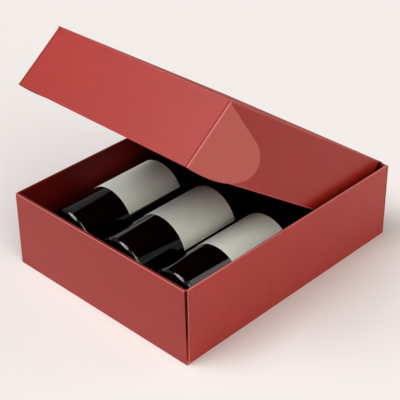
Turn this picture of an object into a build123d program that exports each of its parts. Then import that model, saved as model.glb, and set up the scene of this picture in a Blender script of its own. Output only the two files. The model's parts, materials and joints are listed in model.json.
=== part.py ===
"""A folded card gift carton for three wine bottles, lying flat with its hinged lid part open.

Frame: millimetres, X across the bottles, Y from the front wall to the hinge, Z up.
The origin is the middle of the base's underside.
"""
import os
from math import asin, cos, degrees, radians, sin, tan

from build123d import *

# Card board and how closely its layers lie
board = 1.2
layer_gap = 0.15
crease_gap = 0.3
fold_radius = 1.5
rim_radius = 1.0
foot_radius = 0.8

# Tray, whose width and depth follow from the bottles further down
tray_height = 94.0
slit_foot = 0.2
slit_top = 1.5
corner_tab = 42.0
tab_drop = 2.0
lock_tab_width = 36.0
lock_tab_offset = 62.0

# Lid with its two side flaps
lid_open = 35.0
lid_side_clearance = 5.3
flap_swing_room = 15.0
side_flap_depth = 76.0
side_flap_rear = 7.0
side_flap_rear_taper = 6.0
side_flap_front_taper = 12.0
flap_corner = 4.0

# Front tuck flap with its rounded ears
front_flap_depth = 76.0
front_flap_flare = 18.0
ear_length = 95.0
ear_straight = 62.0
ear_drop = 2.0
ear_taper = 4.5
ear_tip = 27.0
ear_lead = 70.0

# Bottles
bottle_diameter = 75.0
bottle_spacing = 9.2
bottle_side_room = 0.9
bottle_base_room = 10.5
bottle_neck_room = 3.05
bottle_rest_gap = 0.1
heel_radius = 7.0
punt_depth = 14.0
punt_rim = 6.0
body_length = 195.0
shoulder_length = 22.0
shoulder_radius = 20.0
neck_length = 79.0
neck_radius = 14.0
neck_blend = 26.0
finish_radius = 14.8
finish_length = 9.0

# Paper labels and foil capsules
label_height = 81.0
label_width = 89.0
label_from_base = 66.0
label_thickness = 0.25
capsule_length = 52.0
capsule_wall = 0.3
skin_gap = 0.12

# Bottles from left to right, and the angle that each one's label is turned by
bottle_names = ("left", "middle", "right")
label_angles = (-6.0, 7.0, 0.0)
quarter_angle = 90

# Widths, from the middle bottle out to the tray's side
bottle_radius = bottle_diameter / 2
bottle_pitch = bottle_diameter + bottle_spacing
side_wall = 2 * board
lid_half_width = bottle_pitch + bottle_radius + bottle_side_room + board
flap_half_width = lid_half_width + crease_gap + board
inner_half_width = flap_half_width + lid_side_clearance
half_width = inner_half_width + side_wall
tray_width = 2 * half_width

# Depths, from the front wall past the bottles to the back wall
front_wall = 3 * board + 2 * layer_gap
back_wall = 2 * board + layer_gap
bottle_length = body_length + shoulder_length + neck_length
bottle_bay = flap_swing_room + bottle_base_room + bottle_length + bottle_neck_room
tray_depth = front_wall + bottle_bay + back_wall

# Places worked out from the sizes above
front_y = -tray_depth / 2
back_y = tray_depth / 2
inner_front_y = front_y + front_wall
side_front_y = front_y + board + layer_gap
side_back_y = back_y - board - layer_gap
back_top = tray_height - board - crease_gap

hinge = Vector(0, back_y - board / 2, tray_height - board / 2)
lid_length = hinge.Y - inner_front_y - flap_swing_room
panel_end = lid_length - board / 2 - crease_gap
bottle_base_y = inner_front_y + flap_swing_room + bottle_base_room
bottle_axis_z = board + bottle_rest_gap + bottle_radius

# Directions at the lid's open angle: along the lid from its hinge, and down the front flap
across = Vector(1, 0, 0)
open_angle = radians(lid_open)
flap_angle = radians(lid_open + front_flap_flare)
along_lid = Vector(0, -cos(open_angle), sin(open_angle))
down_flap = Vector(0, -sin(flap_angle), -cos(flap_angle))
flap_crease = hinge + along_lid * lid_length

os.makedirs("parts", exist_ok=True)


def save(builder, name):
    """Labels a finished piece and writes it under its own name."""
    builder.part.label = name
    export_step(builder.part, f"parts/{name}.step")


def channel(outer_half, leg):
    """Corners of a sheet bent down at both sides, with its middle line on the local X axis."""
    top = board / 2
    inner_half = outer_half - board
    right = [(outer_half, top), (outer_half, top - leg), (inner_half, top - leg), (inner_half, -top)]
    left = [(-x, y) for x, y in reversed(right)]
    return right + left


# Tray: one sheet with a slotted base, a rolled front wall, hemmed sides, corner tabs and a back wall
wall_length = side_back_y - side_front_y
lock_y = inner_front_y - board / 2
lock_places = [(-lock_tab_offset, lock_y), (lock_tab_offset, lock_y)]

with BuildPart() as tray:
    # Hemmed side walls, rounded where they turn into the corner tabs and along the hem on top
    with BuildSketch():
        with Locations((half_width - side_wall / 2, 0), (side_wall / 2 - half_width, 0)):
            Rectangle(side_wall, wall_length)
        outer_corners = vertices().group_by(Axis.X)
        fillet(outer_corners[0] + outer_corners[-1], radius=fold_radius)
    extrude(amount=tray_height)
    fillet(faces().sort_by(Axis.Z)[-2:].edges(), radius=rim_radius)

    # Corner tabs, inside the rolled front wall and against the back wall
    tab_x = half_width - fold_radius - corner_tab / 2
    with BuildSketch():
        for y in (side_front_y + board / 2, side_back_y - board / 2):
            with Locations((tab_x, y), (-tab_x, y)):
                Rectangle(corner_tab, board)
    extrude(amount=tray_height - board - tab_drop)

    # Outer front panel, its ends slanted so that each corner slit opens towards the top
    with BuildSketch(Plane.XZ.offset(-front_y)):
        foot_half = half_width - slit_foot
        top_half = half_width - slit_top
        front_panel = [(-foot_half, 0), (foot_half, 0), (top_half, tray_height), (-top_half, tray_height)]
        Polygon(*front_panel, align=None)
    extrude(amount=-board)

    # Roll-over of the front wall: top fold and inner panel, with room for the corner tabs between
    with BuildSketch(Plane.YZ):
        cavity_front = front_y + board
        cavity_back = inner_front_y - board
        with Locations(((front_y + inner_front_y) / 2, tray_height / 2)):
            Rectangle(front_wall, tray_height)
        fillet(vertices().group_by(Axis.Y)[-1].sort_by(Axis.X)[-1], radius=rim_radius)
        with Locations(((cavity_front + cavity_back) / 2, (tray_height - board) / 2)):
            Rectangle(cavity_back - cavity_front, tray_height - board, mode=Mode.SUBTRACT)
        with Locations((inner_front_y - board / 2, (board + layer_gap) / 2)):
            Rectangle(board, board + layer_gap, mode=Mode.SUBTRACT)
    extrude(amount=inner_half_width - layer_gap, both=True)
    front_rim = edges().filter_by(Axis.X).filter_by(lambda e: abs(e.center().Y - front_y) < foot_radius)
    fillet(front_rim.sort_by(Axis.Z)[-1], radius=rim_radius)

    # Back wall, which stops just under the lid's crease
    with BuildSketch(Plane.XZ.offset(-back_y)):
        with Locations((0, back_top / 2)):
            Rectangle(2 * foot_half, back_top)
    extrude(amount=board)

    # Base panel with its slots, and the locking tabs that stand in them
    with BuildSketch():
        Rectangle(tray_width, tray_depth)
        with Locations(*lock_places):
            Rectangle(lock_tab_width + 2 * layer_gap, board + 2 * layer_gap, mode=Mode.SUBTRACT)
    extrude(amount=board)
    with BuildSketch():
        with Locations(*lock_places):
            Rectangle(lock_tab_width, board)
    extrude(amount=2 * board)

    # Folded outer edges of the base
    foot_edges = edges().group_by(Axis.Z)[0]
    foot_sides = foot_edges.filter_by(lambda e: abs(abs(e.center().X) - half_width) < foot_radius)
    foot_ends = foot_edges.filter_by(lambda e: abs(abs(e.center().Y) - back_y) < foot_radius)
    fillet(foot_sides + foot_ends, radius=foot_radius)

save(tray, "tray")

# Lid: panel with two side flaps folded down, and a rounded crease along the hinge
flap_reach = side_flap_depth - board / 2
lid_side = Plane(origin=hinge - across * lid_half_width, x_dir=along_lid, z_dir=across)
lid_section = Plane(origin=hinge + along_lid * side_flap_rear, x_dir=across, z_dir=along_lid)

with BuildPart() as lid:
    with BuildSketch(lid_section):
        Polygon(*channel(lid_half_width, side_flap_depth + board), align=None)
        fillet(vertices().group_by(Axis.Y)[-2], radius=fold_radius - board)
        fillet(vertices().group_by(Axis.Y)[-1], radius=fold_radius)
    extrude(amount=panel_end - side_flap_rear)

    # Side view of the flaps, tapered at both ends with rounded corners
    with BuildSketch(lid_side.offset(-board)):
        flap_outline = [
            (side_flap_rear, -board),
            (panel_end, -board),
            (panel_end, fold_radius),
            (panel_end - side_flap_front_taper, flap_reach),
            (side_flap_rear + side_flap_rear_taper, flap_reach),
            (side_flap_rear, fold_radius),
        ]
        Polygon(*flap_outline, align=None)
        fillet(vertices().group_by(Axis.Y)[-1], radius=flap_corner)
    extrude(amount=2 * (lid_half_width + board), mode=Mode.INTERSECT)

    with BuildSketch(lid_side):
        Circle(board / 2)
        with Locations((side_flap_rear / 2, 0)):
            Rectangle(side_flap_rear, board)
    extrude(amount=2 * lid_half_width)

save(lid, "lid")

# Front tuck flap: panel with two rounded ears folded back along the lid's sides
# An ear's lower edge is part of an ellipse whose centre lies in front of the fold, so it tapers at once
ear_start = fold_radius
ear_drop_end = ear_drop + ear_straight * tan(radians(ear_taper))
lower_reach = ear_lead + ear_length - ear_start
lower_angle = asin(ear_lead / lower_reach)
lower_drop = (front_flap_depth - ear_tip) / cos(lower_angle)
lower_start = degrees(lower_angle)
lower_sweep = quarter_angle - lower_start
flap_side = Plane(origin=flap_crease - across * flap_half_width, x_dir=down_flap, z_dir=across)
other_ear = flap_side.offset(2 * flap_half_width - board)
flap_section = Plane(origin=flap_crease + down_flap * ear_drop, x_dir=across, z_dir=down_flap)

with BuildPart() as front_flap:
    # Panel with both folds, each rounded inside and out
    with BuildSketch(flap_section):
        Polygon(*channel(flap_half_width, ear_start + board / 2), align=None)
        fillet(vertices().group_by(Axis.Y)[-2], radius=fold_radius - board)
        fillet(vertices().group_by(Axis.Y)[-1], radius=fold_radius)
    extrude(amount=front_flap_depth - ear_drop)

    # Ears: a straight upper edge, then two elliptical arcs that meet at the tip
    with BuildSketch(flap_side, other_ear):
        with BuildLine():
            Polyline((front_flap_depth, ear_start), (ear_drop, ear_start), (ear_drop_end, ear_straight))
            tip_drop = ear_tip - ear_drop_end
            tip_reach = ear_length - ear_straight
            EllipticalCenterArc((ear_tip, ear_straight), tip_drop, tip_reach, quarter_angle)
            lower_centre = (ear_tip, ear_start - ear_lead)
            EllipticalCenterArc(lower_centre, lower_drop, lower_reach, lower_start, arc_size=lower_sweep)
        make_face()
    extrude(amount=board)

    # Rounded crease along the lid
    with BuildSketch(flap_side):
        Circle(board / 2)
        with Locations((ear_drop / 2, 0)):
            Rectangle(ear_drop, board)
    extrude(amount=2 * flap_half_width)

save(front_flap, "front_flap")

# Bottles lying side by side, each with its label and its capsule
rim_inner = bottle_radius - heel_radius - punt_rim
neck_start = body_length + shoulder_length
capsule_start = bottle_length - capsule_length
finish_start = bottle_length - finish_length
label_inner = bottle_radius + skin_gap
label_half_angle = degrees(label_width / bottle_radius) / 2
capsule_neck = neck_radius + skin_gap
capsule_finish = finish_radius + skin_gap
capsule_end = bottle_length + skin_gap

for column, (place, label_angle) in enumerate(zip(bottle_names, label_angles)):
    bottle_base = Vector((column - 1) * bottle_pitch, bottle_base_y, bottle_axis_z)
    bottle_plane = Plane(origin=bottle_base, x_dir=(0, 0, 1), z_dir=(-1, 0, 0))
    bottle_axis = Axis(bottle_base, (0, 1, 0))

    with BuildPart() as bottle:
        with BuildSketch(bottle_plane):
            with BuildLine():
                TangentArc((0, punt_depth), (rim_inner, 0), tangent=(1, 0))
                Polyline(
                    (rim_inner, 0),
                    (bottle_radius, 0),
                    (bottle_radius, body_length),
                    (neck_radius, neck_start),
                    (neck_radius, finish_start),
                    (finish_radius, finish_start + finish_radius - neck_radius),
                    (finish_radius, bottle_length),
                    (0, bottle_length),
                    (0, punt_depth),
                )
            make_face()
            corners = vertices()
            fillet(corners.sort_by_distance((bottle_radius, 0))[0], radius=heel_radius)
            fillet(corners.sort_by_distance((bottle_radius, body_length))[0], radius=shoulder_radius)
            fillet(corners.sort_by_distance((neck_radius, neck_start))[0], radius=neck_blend)
        revolve(axis=bottle_axis)
    save(bottle, f"bottle_{place}")

    label_start = Plane(
        origin=bottle_base + Vector(0, label_from_base + label_height, 0),
        x_dir=(1, 0, 0),
        z_dir=(0, -1, 0),
    )
    with BuildPart() as label:
        with BuildSketch(label_start):
            with BuildLine():
                first = quarter_angle - label_angle - label_half_angle
                sweep = 2 * label_half_angle
                inner_arc = CenterArc((0, 0), label_inner, first, sweep)
                outer_arc = CenterArc((0, 0), label_inner + label_thickness, first, sweep)
                Line(inner_arc @ 0, outer_arc @ 0)
                Line(inner_arc @ 1, outer_arc @ 1)
            make_face()
        extrude(amount=label_height)
    save(label, f"label_{place}")

    with BuildPart() as capsule:
        with BuildSketch(bottle_plane):
            with BuildLine():
                Polyline(
                    (capsule_neck, capsule_start),
                    (capsule_neck, finish_start),
                    (capsule_finish, finish_start + finish_radius - neck_radius),
                    (capsule_finish, capsule_end),
                    (0, capsule_end),
                    (0, capsule_end + capsule_wall),
                    (capsule_finish + capsule_wall, capsule_end + capsule_wall),
                    (capsule_finish + capsule_wall, finish_start + finish_radius - neck_radius),
                    (capsule_neck + capsule_wall, finish_start),
                    (capsule_neck + capsule_wall, capsule_start),
                    close=True,
                )
            make_face()
        revolve(axis=bottle_axis)
    save(capsule, f"capsule_{place}")
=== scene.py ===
"""Looks of a folded card gift carton that holds three wine bottles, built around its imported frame.

Metres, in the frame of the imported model: X across the bottles, Y from the front wall to the hinge, Z up.
"""

import json
from math import cos, radians, sin, tan, tau

import bmesh
import bpy
from mathutils import Matrix, Vector

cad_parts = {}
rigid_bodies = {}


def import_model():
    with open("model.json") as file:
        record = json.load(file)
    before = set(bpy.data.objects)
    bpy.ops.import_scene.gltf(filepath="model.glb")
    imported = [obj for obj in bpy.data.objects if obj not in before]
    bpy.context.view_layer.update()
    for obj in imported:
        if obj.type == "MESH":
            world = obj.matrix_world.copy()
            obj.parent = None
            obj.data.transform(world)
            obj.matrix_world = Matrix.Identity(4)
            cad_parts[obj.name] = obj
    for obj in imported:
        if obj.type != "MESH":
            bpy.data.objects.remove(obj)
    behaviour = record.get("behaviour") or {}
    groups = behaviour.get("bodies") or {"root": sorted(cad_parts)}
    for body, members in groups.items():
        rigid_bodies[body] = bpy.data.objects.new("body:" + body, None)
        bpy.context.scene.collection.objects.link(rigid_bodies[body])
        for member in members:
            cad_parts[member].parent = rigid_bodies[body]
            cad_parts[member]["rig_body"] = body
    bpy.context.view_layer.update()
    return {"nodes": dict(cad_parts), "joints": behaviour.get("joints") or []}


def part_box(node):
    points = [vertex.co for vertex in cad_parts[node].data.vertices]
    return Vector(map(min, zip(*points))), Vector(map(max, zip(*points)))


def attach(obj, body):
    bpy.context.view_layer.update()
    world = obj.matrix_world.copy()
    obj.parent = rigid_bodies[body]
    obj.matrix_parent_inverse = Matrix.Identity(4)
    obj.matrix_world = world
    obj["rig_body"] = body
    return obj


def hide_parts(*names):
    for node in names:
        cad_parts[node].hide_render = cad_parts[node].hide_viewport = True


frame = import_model()
scene = bpy.context.scene
mm = 0.001

# Card: how copies of the solids are cleaned, and which faces count as flat, narrow or sharp
merge_distance = 0.002 * mm
flat_angle = radians(0.4)
flat_limit = 0.985
sharp_angle = radians(32)
cut_width = 1.6 * mm

# Card: the board and its creases, folds, score lines and open corner slits, with painted shade along the
# score lines and in the slits
board = 1.2 * mm
crease_cover = 0.2 * mm
rim_depth = 0.2 * mm
fold_line = 1.3 * mm
edge_line = 0.8 * mm
score_inset = 2.2 * mm
score_width = 0.9 * mm
slit_foot = 5 * mm
slit_open = 42 * mm
slit_depth = 2.85 * mm
slit_width = 1.6 * mm
flap_flare = radians(18)

# Card grain: the length and width of its streaks, and how much each counts
broad_streak = (70 * mm, 2.2 * mm)
fine_streak = (26 * mm, 0.7 * mm)
fibre_streak = (30 * mm, 1.4 * mm)
mottle_patch = (60 * mm, 45 * mm)
broad_share = 0.55
fine_share = 0.45
line_share = 0.7
mottle_share = 0.3
fibre_start = 0.6
fibre_full = 0.72
fibre_lift = 0.24
middle_shade = 0.5
grain_roughness = 0.08
grain_depth = 0.25 * mm
back_side_shift = 0.5

# Bottles: the turned profile, as on the solids
bottle_radius = 37.5 * mm
heel_radius = 7 * mm
punt_depth = 14 * mm
punt_edge = 24.5 * mm
body_length = 195 * mm
neck_start = 217 * mm
neck_radius = 14 * mm
neck_blend = 26 * mm
shoulder_radius = 20 * mm
finish_start = 287 * mm
finish_radius = 14.8 * mm
finish_lip = 0.8 * mm
bottle_length = 296 * mm
bottle_segments = 192
corner_steps = 14
punt_steps = 18

# Labels and capsules
skin_gap = 0.12 * mm
label_thickness = 0.25 * mm
label_height = 81 * mm
label_width = 89 * mm
label_from_base = 66 * mm
label_turns = {"left": radians(-6), "middle": radians(7), "right": 0.0}
label_steps_round = 96
label_steps_along = 12
cut_edge_facing = 0.5
capsule_length = 52 * mm
capsule_wall = 0.3 * mm
capsule_crown = 1.2 * mm

# Glass: haze from handling, ripples and the tint of the heel
haze_patch = (45 * mm, 30 * mm)
haze_start = 0.45
haze_full = 0.75
glass_clean = 0.03
glass_dull = 0.06
glass_ripple = (50 * mm, 35 * mm)
ripple_strength = 0.08
ripple_depth = 0.6 * mm
heel_tint_length = 45 * mm
glass_ior = 1.52

# Label paper: fibres, mottling and tooth
paper_fibre = (2.4 * mm, 0.7 * mm)
paper_mottle = (22 * mm, 18 * mm)
paper_fibre_shade = 0.06
paper_mottle_shade = 0.08
paper_smoothest = 0.6
paper_roughest = 0.78
paper_gloss = 0.2
tooth_strength = 0.25
tooth_depth = 0.12 * mm

# Capsule foil: satin paint and the creases from spinning on
foil_clean = 0.3
foil_dull = 0.16
foil_crease = (1.6 * mm, 24 * mm)
foil_crease_strength = 0.2
foil_crease_depth = 0.2 * mm
foil_metal = 0.6

# Stage and light
floor_size = 9.0
floor_patch = (600 * mm, 600 * mm)
floor_shade = 0.015
floor_roughness = 0.9
floor_gloss = 0.1
sky_low = 0.92
sky_high = 0.3
sky_low_edge = 0.05
sky_high_edge = 0.45
white_light = (1.0, 1.0, 1.0)
window_light = (1.0, 0.94, 0.87)
low_fill_light = (1.0, 0.9, 0.8)
back_fill_light = (1.0, 0.95, 0.9)

# Camera, fitted to the photograph
photo_width = 400
camera_focal_pixels = 1200
camera_azimuth = radians(44.489)
camera_elevation = radians(32.678)
camera_roll = radians(-0.8)
camera_distance = 1402.69 * mm
camera_slide = -6.2525 * mm
camera_lift = 55.0101 * mm
sensor_width = 36


def linear(red, green, blue):
    """A colour written in the 0 to 255 values of a picture, as the renderer takes it."""
    shares = [value / 255 for value in (red, green, blue)]
    curve = [s / 12.92 if s <= 0.04045 else ((s + 0.055) / 1.055) ** 2.4 for s in shares]
    return (*curve, 1.0)


# Small helpers for node trees
def connect(tree, node, inputs):
    """Sets a node's inputs, given as values or as sockets to link."""
    for name, value in inputs.items():
        if isinstance(value, bpy.types.NodeSocket):
            tree.links.new(value, node.inputs[name])
        else:
            node.inputs[name].default_value = value


def add_node(tree, kind, inputs=None, **settings):
    """A node with its settings and inputs."""
    node = tree.nodes.new(kind)
    for name, value in settings.items():
        setattr(node, name, value)
    connect(tree, node, inputs or {})
    return node


def new_group(name, inputs, outputs, kind="ShaderNodeTree"):
    """An empty node group with named sockets, what comes in, and the node that takes what goes out."""
    group = bpy.data.node_groups.new(name, kind)
    for in_out, sockets in (("INPUT", inputs), ("OUTPUT", outputs)):
        for socket, value_kind in sockets.items():
            group.interface.new_socket(socket, in_out=in_out, socket_type=f"NodeSocket{value_kind}")
    given = group.nodes.new("NodeGroupInput").outputs
    end = group.nodes.new("NodeGroupOutput")
    return group, given, end


def new_material(name):
    """A material with its tree and its one surface shader."""
    material = bpy.data.materials.new(name)
    material.use_nodes = True
    tree = material.node_tree
    return material, tree, tree.nodes["Principled BSDF"]


def maths(tree, operation, *values):
    """One sum on values or sockets."""
    return add_node(tree, "ShaderNodeMath", dict(enumerate(values)), operation=operation).outputs[0]


def vector_maths(tree, operation, *values):
    """One sum on vectors or their sockets."""
    node = add_node(tree, "ShaderNodeVectorMath", dict(enumerate(values)), operation=operation)
    return node.outputs["Value" if operation == "DOT_PRODUCT" else "Vector"]


def parts_of(tree, vector):
    """The X, Y and Z of a vector."""
    return add_node(tree, "ShaderNodeSeparateXYZ", {"Vector": vector}).outputs


def vector_of(tree, x, y, z):
    """A vector from its X, Y and Z."""
    return add_node(tree, "ShaderNodeCombineXYZ", {"X": x, "Y": y, "Z": z}).outputs["Vector"]


def spread(tree, value, low, high, start=0.0, full=1.0, **settings):
    """A value that goes from start to full, spread from low to high."""
    inputs = {"Value": value, "From Min": start, "From Max": full, "To Min": low, "To Max": high}
    return add_node(tree, "ShaderNodeMapRange", inputs, **settings).outputs["Result"]


def in_shares(tree, first, first_share, second, second_share):
    """Two values added in their shares."""
    first_part = maths(tree, "MULTIPLY", first, first_share)
    second_part = maths(tree, "MULTIPLY", second, second_share)
    return maths(tree, "ADD", first_part, second_part)


def streaks(tree, vector, size, detail):
    """Noise in streaks, as long and as wide as the given size in metres."""
    long, wide = size
    mapped = add_node(tree, "ShaderNodeMapping", {"Vector": vector, "Scale": (1 / long, 1 / wide, 1)})
    inputs = {"Vector": mapped.outputs["Vector"], "Scale": 1.0, "Detail": detail}
    return add_node(tree, "ShaderNodeTexNoise", inputs).outputs["Fac"]


def shaded(tree, colour, brightness):
    """A colour made lighter or darker over the surface."""
    inputs = {"Color": colour, "Value": brightness}
    return add_node(tree, "ShaderNodeHueSaturation", inputs).outputs["Color"]


def mixed(tree, share, first, second):
    """Two colours, mixed by the share of the second."""
    inputs = {"Factor": share, "A": first, "B": second}
    return add_node(tree, "ShaderNodeMix", inputs, data_type="RGBA").outputs["Result"]


def relief(tree, height, strength, depth):
    """The normal of a surface with a fine relief."""
    inputs = {"Strength": strength, "Distance": depth, "Height": height}
    return add_node(tree, "ShaderNodeBump", inputs).outputs["Normal"]


def own_map(tree, name):
    """A piece's own map of lengths over its surface."""
    return add_node(tree, "ShaderNodeUVMap", uv_map=name).outputs["UV"]


def own_place(tree):
    """A place in the frame that all pieces share."""
    return add_node(tree, "ShaderNodeTexCoord").outputs["Object"]


# Card material
def make_card_grain():
    """Silk-lined card: fine embossed lines along the sheet's grain, with raised fibres and slow mottling."""
    group, given, end = new_group(
        "silk_card_grain",
        {"Sheet": "Vector", "Colour": "Color", "Contrast": "Float", "Roughness": "Float"},
        {"Colour": "Color", "Roughness": "Float", "Height": "Float"},
    )
    broad = streaks(group, given["Sheet"], broad_streak, detail=2.0)
    fine = streaks(group, given["Sheet"], fine_streak, detail=2.0)
    mottle = streaks(group, given["Sheet"], mottle_patch, detail=3.0)
    fibre = streaks(group, given["Sheet"], fibre_streak, detail=1.0)
    lines = in_shares(group, broad, broad_share, fine, fine_share)
    shade = in_shares(group, lines, line_share, mottle, mottle_share)
    shade = maths(group, "ADD", shade, spread(group, fibre, 0.0, fibre_lift, fibre_start, fibre_full))
    change = maths(group, "MULTIPLY", maths(group, "SUBTRACT", shade, middle_shade), given["Contrast"])
    rough_change = spread(group, fine, -grain_roughness, grain_roughness)
    grain = {
        "Colour": shaded(group, given["Colour"], maths(group, "ADD", change, 1.0)),
        "Roughness": maths(group, "ADD", given["Roughness"], rough_change),
        "Height": lines,
    }
    connect(group, end, grain)
    return group


card_grain = make_card_grain()


def card_material(name, colour, contrast, roughness, bump, gloss, dark=None):
    """Red silk-lined card in one of its finishes; given a dark colour, it is darkened with height inside an
    open slit as painted shade.
    """
    material, tree, surface = new_material(name)
    inputs = {"Sheet": own_map(tree, "sheet"), "Colour": colour, "Contrast": contrast, "Roughness": roughness}
    grain = add_node(tree, "ShaderNodeGroup", inputs, node_tree=card_grain).outputs
    shown = grain["Colour"]
    if dark is not None:
        # Painted shade: darker with height inside the open corner slit, where shade falls
        height = parts_of(tree, own_place(tree))["Z"]
        shown = mixed(tree, spread(tree, height, 0.0, 1.0, slit_foot, slit_open), shown, dark)
    finish = {
        "Base Color": shown,
        "Roughness": grain["Roughness"],
        "Normal": relief(tree, grain["Height"], bump, grain_depth),
        "Specular IOR Level": gloss,
    }
    connect(tree, surface, finish)
    return material


card_finishes = (
    card_material("card_face", linear(161, 39, 31), contrast=0.6, roughness=0.37, bump=0.5, gloss=0.37),
    # Pale folds and rims: partly whitening where the card is bent, partly painted highlight
    card_material("card_fold_whitening_and_highlight", linear(189, 103, 102), contrast=0.6, roughness=0.45, bump=0.4, gloss=0.2),
    card_material("card_cut", linear(188, 92, 84), contrast=0.6, roughness=0.7, bump=0.5, gloss=0.1),
    # Ears paler than the rest of the card: painted sheen where their grain catches the light
    card_material("card_ear_painted_sheen", linear(180, 79, 70), contrast=0.45, roughness=0.37, bump=0.4, gloss=0.36),
    # A dark red line of painted shade along the score in the crease
    card_material("card_score_painted_shade", linear(84, 11, 10), contrast=0.4, roughness=0.7, bump=0.3, gloss=0.05),
    # A darker red for the inside faces: painted shade inside the carton
    card_material("card_inside_painted_shade", linear(102, 15, 13), contrast=0.6, roughness=0.6, bump=0.4, gloss=0.1),
    # The lid's outer top in a greyer red: painted sheen of grazing light, with its real gloss turned down
    card_material("card_top_painted_sheen", linear(157, 57, 52), contrast=0.6, roughness=0.6, bump=0.5, gloss=0.04),
    # Painted shade inside the open corner slits, a dark red that grows with height
    card_material(
        "card_slit_painted_shade",
        linear(161, 39, 31),
        contrast=0.4,
        roughness=0.7,
        bump=0.3,
        gloss=0.05,
        dark=linear(70, 5, 5),
    ),
    # The lid's side flaps in a darker red: painted shade
    card_material("card_side_painted_shade", linear(150, 32, 23), contrast=0.6, roughness=0.37, bump=0.5, gloss=0.3),
)
FACE, FOLD_WHITENING_AND_HIGHLIGHT, CUT, EAR_SHEEN, SCORE_SHADE, INSIDE_SHADE, TOP_SHEEN, SLIT_SHADE, SIDE_SHADE = range(len(card_finishes))


# Pieces: how each of them takes its node's place
def new_piece(name, mesh):
    """A piece in the scene, at the origin."""
    piece = bpy.data.objects.new(name, mesh)
    scene.collection.objects.link(piece)
    return piece


def settle(piece, node):
    """Keeps what a piece's modifier makes as its mesh, and puts the piece on its node's body."""
    solid = piece.evaluated_get(bpy.context.evaluated_depsgraph_get())
    mesh = bpy.data.meshes.new_from_object(solid)
    piece.modifiers.clear()
    start_mesh = piece.data
    piece.data = mesh
    bpy.data.meshes.remove(start_mesh)
    mesh.name = piece.name
    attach(piece, frame["nodes"][node]["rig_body"])
    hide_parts(node)


# Folded card pieces
def face_width(face):
    """About how narrow a face is: its area over half of its outline."""
    return face.calc_area() / (face.calc_perimeter() / 2)


def steepest(normal):
    """Which of a piece's own axes a face looks along most: 0 width, 1 length, 2 depth."""
    return max(range(3), key=lambda axis: abs(normal[axis]))


def is_flat(normal):
    """True for a face square to one of its piece's own axes, and not for the round of a fold."""
    return abs(normal[steepest(normal)]) >= flat_limit


def sheet_axes(normal):
    """Which of a piece's own axes run along and across the grain on a face."""
    return {0: (2, 1), 1: (0, 2), 2: (0, 1)}[steepest(normal)]


def faces_inwards(place, normal, closed_ends):
    """True for a face on the inside of the folded sheet, in the piece's own axes."""
    axis = steepest(normal)
    if axis == 2:
        return normal.z > 0
    if axis == 1 and not closed_ends:
        return False
    return normal[axis] * place[axis] < 0


def cut_across(form, direction, place):
    """Adds edges to a form where it meets a plane, square to a direction and at a distance along it."""
    everything = list(form.verts) + list(form.edges) + list(form.faces)
    bmesh.ops.bisect_plane(
        form, geom=everything, dist=merge_distance, plane_co=direction * place, plane_no=direction
    )


def close_crease(form, along, depth):
    """Brings the end of a panel up to the rounded crease beside it, so that no light shows between them."""
    end = max(along.dot(corner.co) for corner in form.verts)
    top = min(depth.dot(corner.co) for corner in form.verts)
    for corner in form.verts:
        below = depth.dot(corner.co) - top
        if end - along.dot(corner.co) < merge_distance and below < board + merge_distance:
            corner.co += along * crease_cover


def card_piece(name, node, along, depth, finish, cuts, has_crease=False):
    """A folded card piece in the node's own form, with flat faces joined and a grain along the sheet."""
    form = bmesh.new()
    form.from_mesh(frame["nodes"][node].data)
    bmesh.ops.remove_doubles(form, verts=form.verts, dist=merge_distance)
    bmesh.ops.dissolve_limit(form, angle_limit=flat_angle, verts=form.verts, edges=form.edges)
    if has_crease:
        close_crease(form, along, depth)
    for direction, place in cuts:
        cut_across(form, direction, place)
    axes = Matrix((Vector((1, 0, 0)), along, depth))
    sheet = form.loops.layers.uv.new("sheet")
    for face in form.faces:
        normal = axes @ face.normal
        middle = axes @ face.calc_center_median()
        face.material_index = finish(middle, normal, face_width(face) < cut_width)
        face.smooth = True
        grain_axis, cross_axis = sheet_axes(normal)
        shift = back_side_shift if sum(normal) < 0 else 0.0
        for loop in face.loops:
            place = axes @ loop.vert.co
            loop[sheet].uv = (place[grain_axis] + shift, place[cross_axis] + shift)
    mesh = bpy.data.meshes.new(name)
    form.to_mesh(mesh)
    form.free()
    for material in card_finishes:
        mesh.materials.append(material)
    mesh.set_sharp_from_angle(angle=sharp_angle)
    piece = new_piece(name, mesh)
    even = piece.modifiers.new("even_shading", "WEIGHTED_NORMAL")
    even.keep_sharp = True
    settle(piece, node)


# Tray: pale rims and folds, partly whitening of the bent card and partly painted highlight, with painted
# shade in the open slit at each front corner
tray_low, tray_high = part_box("tray")


def corner_finish(place, normal):
    """The finish beside a front corner of the tray: painted shade in the open slit, the pale fold finish
    along the fold (partly whitening, partly painted highlight), or none.
    """
    from_side = tray_high.x - abs(place.x)
    from_front = place.y - tray_low.y
    if place.z < slit_foot or place.z > tray_high.z - rim_depth or from_side > slit_width:
        return None
    # Painted shade on the faces inside the open slit
    if from_front < slit_depth and normal.y > -flat_limit:
        return SLIT_SHADE
    # A pale band along the corner fold: partly whitening of the card, partly painted highlight
    if from_front < slit_depth + fold_line and abs(normal.x) > flat_limit and normal.x * place.x > 0:
        return FOLD_WHITENING_AND_HIGHLIGHT
    return None


def is_inner_rim(place, normal):
    """True for the rounded edge of a wall's top that turns down into the tray."""
    return normal.z > 0 and normal.x * place.x + normal.y * place.y < 0


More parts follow.
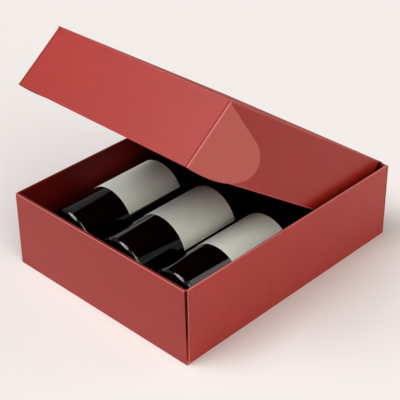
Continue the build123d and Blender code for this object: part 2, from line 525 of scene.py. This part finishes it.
def tray_finish(place, normal, narrow):
    """The finish of a face of the tray."""
    at_corner = corner_finish(place, normal)
    if at_corner is not None:
        return at_corner
    on_fold = not is_flat(normal)
    on_rim = place.z > tray_high.z - rim_depth
    # The inner rounding of a rim takes the darker inside finish: painted shade
    if on_fold and is_inner_rim(place, normal):
        return INSIDE_SHADE
    # Folds and rim tops take the pale fold finish: partly whitening of the card, partly painted highlight
    if on_fold or (on_rim and narrow):
        return FOLD_WHITENING_AND_HIGHLIGHT
    if narrow:
        return CUT
    # Faces inside the carton take the darker inside finish: painted shade
    return INSIDE_SHADE if faces_inwards(place, normal, closed_ends=True) else FACE


to_back = Vector((0, 1, 0))
upwards = Vector((0, 0, 1))
fold_end = tray_low.y + slit_depth + fold_line
card_piece(
    "carton_tray",
    "tray",
    along=to_back,
    depth=upwards,
    finish=tray_finish,
    cuts=[(to_back, fold_end), (upwards, slit_foot)],
)

# Lid: a duller top, greyer as painted sheen, and side flaps darker as painted shade, with a pale lower edge
# that is partly wear and partly painted highlight, in directions along and under the open lid
joints = {joint["name"]: joint for joint in frame["joints"]}
lid_open = radians(-joints["lid_hinge"]["range_deg"][0])
along_lid = Vector((0, -cos(lid_open), sin(lid_open)))
under_lid = Vector((0, -sin(lid_open), -cos(lid_open)))
lid_corners = [corner.co for corner in frame["nodes"]["lid"].data.vertices]
lid_edge = max(under_lid.dot(corner) for corner in lid_corners) - edge_line


def lid_finish(place, normal, narrow):
    """The finish of a face of the lid."""
    if not is_flat(normal):
        return FACE
    if narrow:
        return CUT
    # Inner faces take the darker inside finish: painted shade
    if faces_inwards(place, normal, closed_ends=False):
        return INSIDE_SHADE
    # The outer top takes the greyer finish: painted sheen
    if normal.z < -flat_limit:
        return TOP_SHEEN
    # Side flaps take the darker finish as painted shade; a strip along their lower edge takes the pale fold
    # finish, partly wear and partly painted highlight
    if abs(normal.x) > flat_limit:
        return FOLD_WHITENING_AND_HIGHLIGHT if place.z > lid_edge else SIDE_SHADE
    return FACE


card_piece(
    "carton_lid",
    "lid",
    along=along_lid,
    depth=under_lid,
    finish=lid_finish,
    cuts=[(under_lid, lid_edge)],
    has_crease=True,
)

# Front tuck flap: a dark line of painted shade along the score beside the fold of each ear, and the ears
# paler as painted sheen
flap_lean = lid_open + flap_flare
down_flap = Vector((0, -sin(flap_lean), -cos(flap_lean)))
behind_flap = Vector((0, cos(flap_lean), -sin(flap_lean)))
flap_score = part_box("front_flap")[1].x - score_inset
score_edges = [flap_score, flap_score - score_width]


def flap_finish(place, normal, narrow):
    """The finish of a face of the front flap."""
    # The flap's folds take the pale fold finish: partly whitening of the card, partly painted highlight
    if not is_flat(normal):
        return FOLD_WHITENING_AND_HIGHLIGHT
    # Painted shade in a narrow line along each score
    if normal.z < -flat_limit and flap_score - score_width < abs(place.x) < flap_score:
        return SCORE_SHADE
    if narrow:
        return CUT
    # Inner faces take the darker inside finish: painted shade
    if faces_inwards(place, normal, closed_ends=False):
        return INSIDE_SHADE
    # Ears take the paler finish: painted sheen
    return EAR_SHEEN if abs(normal.x) > flat_limit else FACE


card_piece(
    "carton_flap",
    "front_flap",
    along=down_flap,
    depth=behind_flap,
    finish=flap_finish,
    cuts=[(Vector((side, 0, 0)), edge) for side in (1, -1) for edge in score_edges],
)


# Glass, paper and foil
def make_handling_haze():
    """Faint smears and dust that dull a glossy surface in patches."""
    group, given, end = new_group(
        "handling_haze", {"Place": "Vector", "Clean": "Float", "Dull": "Float"}, {"Roughness": "Float"}
    )
    smear = streaks(group, given["Place"], haze_patch, detail=4.0)
    smear = spread(group, smear, 0.0, 1.0, haze_start, haze_full)
    extra = maths(group, "MULTIPLY", smear, given["Dull"])
    connect(group, end, {"Roughness": maths(group, "ADD", extra, given["Clean"])})
    return group


handling_haze = make_handling_haze()


def hazed(tree, clean, dull):
    """A roughness with haze from handling."""
    inputs = {"Place": own_place(tree), "Clean": clean, "Dull": dull}
    return add_node(tree, "ShaderNodeGroup", inputs, node_tree=handling_haze).outputs["Roughness"]


def make_dark_glass():
    """Near-black bottle glass full of wine, a little greener towards the thick heel."""
    material, tree, surface = new_material("dark_bottle_glass")
    turn = own_map(tree, "turn")
    heel = spread(tree, parts_of(tree, turn)["Y"], 1.0, 0.0, full=heel_tint_length)
    ripple = streaks(tree, turn, glass_ripple, detail=1.0)
    finish = {
        "Base Color": mixed(tree, heel, linear(2, 2, 2), linear(9, 11, 8)),
        "Roughness": hazed(tree, glass_clean, glass_dull),
        "Normal": relief(tree, ripple, ripple_strength, ripple_depth),
        "IOR": glass_ior,
    }
    connect(tree, surface, finish)
    return material


def make_label_paper(name, colour):
    """Uncoated label paper: fibres, a soft mottle and a faint tooth."""
    material, tree, surface = new_material(name)
    sheet = own_map(tree, "sheet")
    fibres = streaks(tree, sheet, paper_fibre, detail=3.0)
    mottle = streaks(tree, sheet, paper_mottle, detail=3.0)
    fibre_change = spread(tree, fibres, -paper_fibre_shade, paper_fibre_shade)
    brightness = spread(tree, mottle, 1.0 - paper_mottle_shade, 1.0 + paper_mottle_shade)
    finish = {
        "Base Color": shaded(tree, colour, maths(tree, "ADD", fibre_change, brightness)),
        "Roughness": spread(tree, mottle, paper_smoothest, paper_roughest),
        "Normal": relief(tree, fibres, tooth_strength, tooth_depth),
        "Specular IOR Level": paper_gloss,
    }
    connect(tree, surface, finish)
    return material


def make_capsule_foil():
    """Dark painted foil with a satin finish and slight creases from spinning on."""
    material, tree, surface = new_material("capsule_foil")
    creases = streaks(tree, own_map(tree, "turn"), foil_crease, detail=2.0)
    finish = {
        "Base Color": mixed(tree, creases, linear(42, 20, 20), linear(58, 30, 29)),
        "Roughness": hazed(tree, foil_clean, foil_dull),
        "Normal": relief(tree, creases, foil_crease_strength, foil_crease_depth),
        "Metallic": foil_metal,
    }
    connect(tree, surface, finish)
    return material


dark_glass = make_dark_glass()
label_paper = make_label_paper("label_paper", linear(241, 246, 236))
label_edge = make_label_paper("label_edge", linear(250, 248, 242))
capsule_foil = make_capsule_foil()


# Outlines of bottles and capsules
def rounded(points):
    """An outline from (radius, height, corner radius) points, each corner rounded by an arc."""
    outline = []
    for index, (radius, height, corner) in enumerate(points):
        here = Vector((radius, height))
        if corner == 0:
            outline.append(here)
            continue
        back = (Vector(points[index - 1][:2]) - here).normalized()
        ahead = (Vector(points[index + 1][:2]) - here).normalized()
        opening = back.angle(ahead)
        centre = here + (back + ahead).normalized() * corner / sin(opening / 2)
        first = here + back * corner / tan(opening / 2) - centre
        last = here + ahead * corner / tan(opening / 2) - centre
        turn = first.angle_signed(last)
        for step in range(corner_steps + 1):
            spoke = first.copy()
            spoke.rotate(Matrix.Rotation(-turn * step / corner_steps, 2))
            outline.append(centre + spoke)
    return outline


def bottle_outline():
    """Half section of a bottle, from the middle of the punt round to the middle of the mouth."""
    punt_radius = (punt_edge**2 + punt_depth**2) / (2 * punt_depth)
    punt = []
    for step in range(punt_steps):
        radius = punt_edge * step / punt_steps
        drop = punt_radius - (punt_radius**2 - radius**2) ** 0.5
        punt.append(Vector((radius, punt_depth - drop)))
    side = [
        (punt_edge, 0, 0),
        (bottle_radius, 0, heel_radius),
        (bottle_radius, body_length, shoulder_radius),
        (neck_radius, neck_start, neck_blend),
        (neck_radius, finish_start, 0),
        (finish_radius, finish_start + finish_lip, 0),
        (finish_radius, bottle_length, 0),
        (0, bottle_length, 0),
    ]
    return punt + rounded(side)


def capsule_outline():
    """Half section of a foil capsule over the neck, from its inner end round to its outer end."""
    neck = neck_radius + skin_gap
    finish = finish_radius + skin_gap
    end = bottle_length + skin_gap
    start = bottle_length - capsule_length
    wall = capsule_wall
    inside = [
        (0, end, 0),
        (finish, end, 0),
        (finish, finish_start + finish_lip, 0),
        (neck, finish_start, 0),
        (neck, start, 0),
    ]
    outside = [
        (neck + wall, start, 0),
        (neck + wall, finish_start, 0),
        (finish + wall, finish_start + finish_lip, 0),
        (finish + wall, end + wall, capsule_crown),
        (0, end + wall, 0),
    ]
    return rounded(inside + outside)


# Bottles, capsules and labels, shaped by geometry nodes
def reshaped(tree, kind, shape, inputs=None, **settings):
    """A shape after one more geometry node."""
    return add_node(tree, kind, {"Geometry": shape, **(inputs or {})}, **settings).outputs["Geometry"]


def with_map(tree, shape, name, across, along):
    """A shape that keeps lengths across and along its surface as its named map."""
    inputs = {"Name": name, "Value": vector_of(tree, across, along, 0.0)}
    node = "GeometryNodeStoreNamedAttribute"
    return reshaped(tree, node, shape, inputs, data_type="FLOAT2", domain="CORNER")


def moved_round(tree, shape, radius, along, angle, base):
    """A shape bent round a bottle's axis, to a radius and an angle from the top, along from the base."""
    across = maths(tree, "MULTIPLY", radius, maths(tree, "SINE", angle))
    up = maths(tree, "MULTIPLY", radius, maths(tree, "COSINE", angle))
    inputs = {"Position": vector_of(tree, across, along, up), "Offset": base}
    return reshaped(tree, "GeometryNodeSetPosition", shape, inputs)


def finished(tree, shape, material):
    """A shape shaded smooth, in one finish."""
    shape = reshaped(tree, "GeometryNodeSetShadeSmooth", shape)
    shape = reshaped(tree, "GeometryNodeRealizeInstances", shape)
    return reshaped(tree, "GeometryNodeSetMaterial", shape, {"Material": material})


def make_turned_shape():
    """Turns an outline about a bottle's axis, and maps the lengths round the bottle and along the outline."""
    tree, given, end = new_group(
        "turned_shape",
        {"Outline": "Geometry", "Base": "Vector", "Girth": "Float", "Segments": "Int", "Finish": "Material"},
        {"Shape": "Geometry"},
        "GeometryNodeTree",
    )
    outline = add_node(tree, "GeometryNodeMeshToCurve", {"Mesh": given["Outline"]}).outputs["Curve"]
    size = add_node(tree, "GeometryNodeAttributeDomainSize", {"Geometry": outline}, component="CURVE")
    points = size.outputs["Point Count"]
    grid_size = {
        "Size X": 1.0,
        "Size Y": 1.0,
        "Vertices X": maths(tree, "ADD", given["Segments"], 1),
        "Vertices Y": points,
    }
    shape = add_node(tree, "GeometryNodeMeshGrid", grid_size).outputs["Mesh"]
    place = add_node(tree, "GeometryNodeInputPosition").outputs["Position"]
    on_grid = parts_of(tree, place)
    # The grid is one unit wide each way and centred, so half a unit more gives a share from 0 to 1
    share_round = maths(tree, "ADD", on_grid["X"], 0.5)
    share_along = maths(tree, "ADD", on_grid["Y"], 0.5)
    row = maths(tree, "ROUND", maths(tree, "MULTIPLY", share_along, maths(tree, "SUBTRACT", points, 1)))

    def at_row(value, kind):
        """What the outline has at the point that a row of the grid follows."""
        inputs = {"Geometry": outline, "Value": value, "Index": row}
        return add_node(tree, "GeometryNodeSampleIndex", inputs, data_type=kind).outputs["Value"]

    section = parts_of(tree, at_row(place, "FLOAT_VECTOR"))
    run = at_row(add_node(tree, "GeometryNodeSplineParameter").outputs["Length"], "FLOAT")
    angle = maths(tree, "MULTIPLY", share_round, tau)
    shape = with_map(tree, shape, "turn", maths(tree, "MULTIPLY", share_round, given["Girth"]), run)
    shape = moved_round(tree, shape, section["X"], section["Y"], angle, given["Base"])
    shape = reshaped(tree, "GeometryNodeMergeByDistance", shape, {"Distance": merge_distance})
    connect(tree, end, {"Shape": finished(tree, shape, given["Finish"])})
    return tree


def make_wrapped_label():
    """Wraps a sheet of paper round the upper side of a bottle, its cut edges in a finish of their own."""
    sizes = ("Radius", "Gap", "Width", "Height", "Thickness", "From base", "Turn")
    inputs = {"Base": "Vector", **dict.fromkeys(sizes, "Float")}
    inputs |= {"Steps round": "Int", "Steps along": "Int", "Paper": "Material", "Cut edge": "Material"}
    tree, given, end = new_group("wrapped_label", inputs, {"Shape": "Geometry"}, "GeometryNodeTree")
    block_size = {
        "Size": vector_of(tree, given["Width"], given["Height"], given["Thickness"]),
        "Vertices X": maths(tree, "ADD", given["Steps round"], 1),
        "Vertices Y": maths(tree, "ADD", given["Steps along"], 1),
        "Vertices Z": 2,
    }
    shape = add_node(tree, "GeometryNodeMeshCube", block_size).outputs["Mesh"]
    place = add_node(tree, "GeometryNodeInputPosition").outputs["Position"]
    flat = parts_of(tree, place)
    across = maths(tree, "ADD", flat["X"], maths(tree, "MULTIPLY", given["Width"], 0.5))
    along = maths(tree, "ADD", flat["Y"], maths(tree, "MULTIPLY", given["Height"], 0.5))
    half_way = maths(tree, "ADD", given["Gap"], maths(tree, "MULTIPLY", given["Thickness"], 0.5))
    radius = maths(tree, "ADD", maths(tree, "ADD", given["Radius"], half_way), flat["Z"])
    angle = maths(tree, "ADD", given["Turn"], maths(tree, "DIVIDE", flat["X"], given["Radius"]))
    from_base = maths(tree, "ADD", given["From base"], along)
    shape = with_map(tree, shape, "sheet", across, along)
    shape = moved_round(tree, shape, radius, from_base, angle, given["Base"])
    shape = finished(tree, shape, given["Paper"])
    outwards = vector_maths(tree, "SUBTRACT", place, given["Base"])
    outwards = vector_maths(tree, "NORMALIZE", vector_maths(tree, "MULTIPLY", outwards, (1, 0, 1)))
    normal = add_node(tree, "GeometryNodeInputNormal").outputs["Normal"]
    facing = maths(tree, "ABSOLUTE", vector_maths(tree, "DOT_PRODUCT", outwards, normal))
    edges = {"Selection": maths(tree, "LESS_THAN", facing, cut_edge_facing), "Material": given["Cut edge"]}
    connect(tree, end, {"Shape": reshaped(tree, "GeometryNodeSetMaterial", shape, edges)})
    return tree


def shaped_piece(name, tree, sizes, node, outline=()):
    """Makes a piece with a tree, from its named sizes and an outline, in place of its node."""
    line = bpy.data.meshes.new(f"{name}_outline")
    edges = [(index, index + 1) for index in range(len(outline) - 1)]
    line.from_pydata([(point.x, point.y, 0) for point in outline], edges, [])
    piece = new_piece(name, line)
    shape = piece.modifiers.new("shape", "NODES")
    shape.node_group = tree
    for socket in tree.interface.items_tree:
        if socket.name in sizes:
            shape[socket.identifier] = sizes[socket.name]
    settle(piece, node)
    piece.data.set_sharp_from_angle(angle=sharp_angle)


turned_shape = make_turned_shape()
turned_sizes = {"Girth": tau * bottle_radius, "Segments": bottle_segments}
wrapped_label = make_wrapped_label()
label_sizes = {
    "Radius": bottle_radius,
    "Gap": skin_gap,
    "Width": label_width,
    "Height": label_height,
    "Thickness": label_thickness,
    "From base": label_from_base,
    "Steps round": label_steps_round,
    "Steps along": label_steps_along,
    "Paper": label_paper,
    "Cut edge": label_edge,
}
for side, label_turn in label_turns.items():
    low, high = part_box(f"bottle_{side}")
    base = ((low.x + high.x) / 2, low.y, (low.z + high.z) / 2)
    shaped_piece(
        f"wine_bottle_{side}",
        turned_shape,
        {**turned_sizes, "Base": base, "Finish": dark_glass},
        f"bottle_{side}",
        bottle_outline(),
    )
    shaped_piece(
        f"bottle_label_{side}",
        wrapped_label,
        {**label_sizes, "Base": base, "Turn": label_turn},
        f"label_{side}",
    )
    shaped_piece(
        f"neck_capsule_{side}",
        turned_shape,
        {**turned_sizes, "Base": base, "Finish": capsule_foil},
        f"capsule_{side}",
        capsule_outline(),
    )


# Stage: a plain pale floor under a pale sky
def make_floor():
    """A wide flat floor in warm white."""
    form = bmesh.new()
    bmesh.ops.create_grid(form, x_segments=1, y_segments=1, size=floor_size / 2)
    mesh = bpy.data.meshes.new("studio_floor")
    form.to_mesh(mesh)
    form.free()
    material, tree, surface = new_material("pale_floor")
    cloud = streaks(tree, own_place(tree), floor_patch, detail=2.0)
    brightness = spread(tree, cloud, 1.0 - floor_shade, 1.0 + floor_shade)
    finish = {
        "Base Color": shaded(tree, linear(229, 226, 225), brightness),
        "Roughness": floor_roughness,
        "Specular IOR Level": floor_gloss,
    }
    connect(tree, surface, finish)
    mesh.materials.append(material)
    new_piece("studio_floor", mesh)


def make_sky():
    """A sky that is pale at the horizon and greyer overhead, seen and mirrored but giving no light itself."""
    world = bpy.data.worlds.new("studio_sky")
    world.use_nodes = True
    scene.world = world
    tree = world.node_tree
    path = add_node(tree, "ShaderNodeLightPath").outputs
    seen = maths(tree, "MAXIMUM", path["Is Camera Ray"], path["Is Glossy Ray"])
    seen = maths(tree, "MAXIMUM", seen, path["Is Transmission Ray"])
    direction = add_node(tree, "ShaderNodeTexCoord").outputs["Generated"]
    height = parts_of(tree, direction)["Z"]
    shown = spread(
        tree, height, sky_low, sky_high, sky_low_edge, sky_high_edge, interpolation_type="SMOOTHSTEP"
    )
    sky = {"Color": linear(252, 250, 247), "Strength": maths(tree, "MULTIPLY", seen, shown)}
    connect(tree, tree.nodes["Background"], sky)


def add_sun(name, direction, strength, width, colour):
    """A distant lamp that shines from the given direction, as wide as the given angle in degrees."""
    lamp = bpy.data.lights.new(name, "SUN")
    lamp.energy = strength
    lamp.angle = radians(width)
    lamp.color = colour
    sun = bpy.data.objects.new(name, lamp)
    sun.rotation_mode = "QUATERNION"
    sun.rotation_quaternion = Vector(direction).to_track_quat("Z", "Y")
    scene.collection.objects.link(sun)


make_floor()
make_sky()
add_sun("key_overhead", (-0.2, -0.12, 0.97), strength=0.7, width=25, colour=white_light)
add_sun("left_softbox", (-0.45, -0.35, 0.86), strength=0.66, width=18, colour=white_light)
add_sun("right_window", (0.55, -0.12, 0.83), strength=0.76, width=30, colour=window_light)
add_sun("right_lower", (0.75, -0.35, 0.56), strength=0.44, width=30, colour=window_light)
add_sun("front_softbox", (-0.2, -0.55, 0.81), strength=1.27, width=28, colour=white_light)
add_sun("right_fill", (0.97, -0.14, 0.2), strength=1.03, width=60, colour=low_fill_light)
add_sun("back_fill", (0.4, 0.6, 0.69), strength=0.33, width=30, colour=back_fill_light)


# Camera at the photograph's viewing angle
def make_camera():
    """A long lens looking down on the front right corner."""
    level = cos(camera_elevation)
    back = Vector((sin(camera_azimuth) * level, -cos(camera_azimuth) * level, sin(camera_elevation)))
    right = Vector((cos(camera_azimuth), sin(camera_azimuth), 0))
    up = back.cross(right)
    rolled_right = right * cos(camera_roll) + up * sin(camera_roll)
    rolled_up = up * cos(camera_roll) - right * sin(camera_roll)
    lens = bpy.data.cameras.new("photo_camera")
    lens.sensor_width = sensor_width
    lens.lens = camera_focal_pixels / photo_width * sensor_width
    camera = bpy.data.objects.new("photo_camera", lens)
    turned_axes = Matrix((rolled_right, rolled_up, back)).transposed()
    place = back * camera_distance + rolled_right * camera_slide + rolled_up * camera_lift
    camera.matrix_world = Matrix.Translation(place) @ turned_axes.to_4x4()
    scene.collection.objects.link(camera)
    scene.camera = camera


make_camera()
scene.view_settings.view_transform = "Standard"
